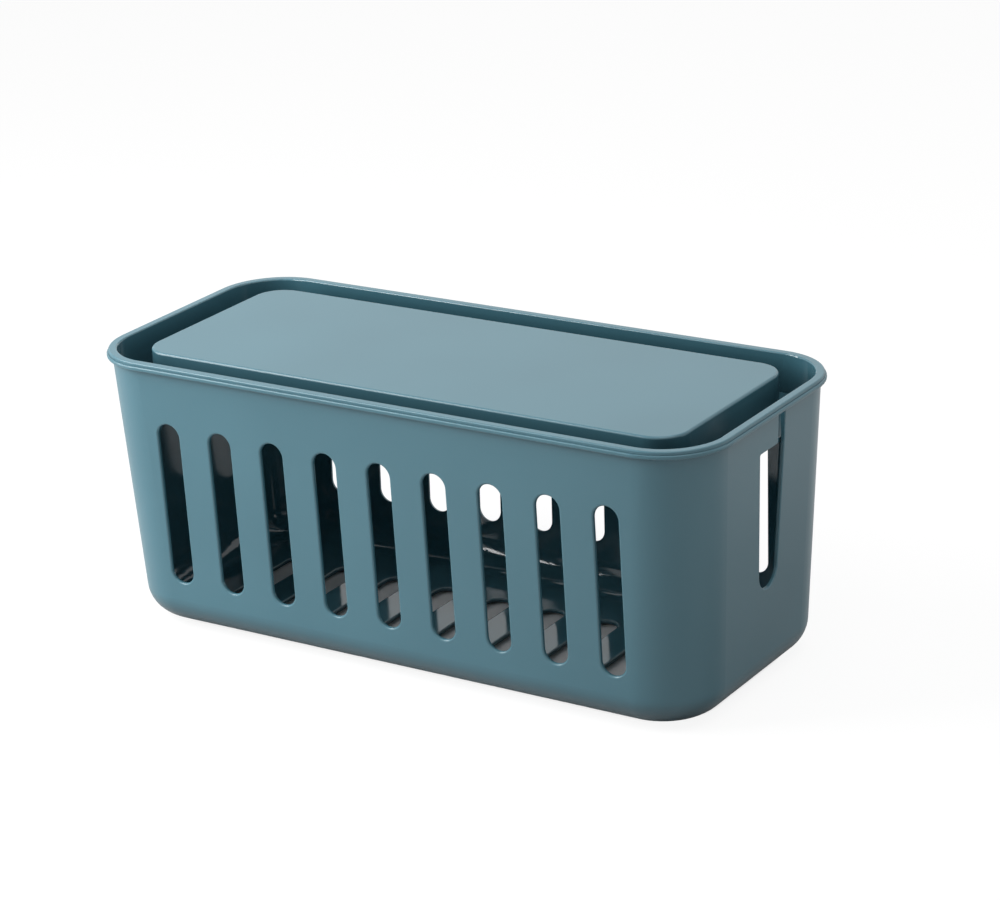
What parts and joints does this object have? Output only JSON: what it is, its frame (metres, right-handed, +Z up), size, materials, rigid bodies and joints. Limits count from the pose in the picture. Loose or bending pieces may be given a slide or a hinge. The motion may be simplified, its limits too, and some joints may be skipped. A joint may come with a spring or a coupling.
{
  "type": "cable management box",
  "caption": "Long vented plastic box with rounded corners, a cord slot in one end and a lift-off lid set in a finger groove, for hiding a power strip and its cords.",
  "frame": {"origin": "on the surface the box stands on, under the middle of the box", "axes": "+X along the box's length, +Y to its back, +Z up"},
  "size_m": [0.32, 0.1396, 0.1305],
  "materials": {
    "shell_plastic": "fine satin moulded polypropylene",
    "foot_rubber": "matte"
  },
  "bodies": {
    "tub": {"tub": "shell_plastic", "foot_front_left": "foot_rubber", "foot_front_right": "foot_rubber", "foot_rear_left": "foot_rubber", "foot_rear_right": "foot_rubber"},
    "lid": {"lid_flange": "shell_plastic", "lid_platform": "shell_plastic"}
  },
  "joints": [
    {"name": "lid_lift", "type": "slide", "parent": "tub", "child": "lid", "axis": [0, 0, 1], "range_m": [0, 0.06]}
  ]
}
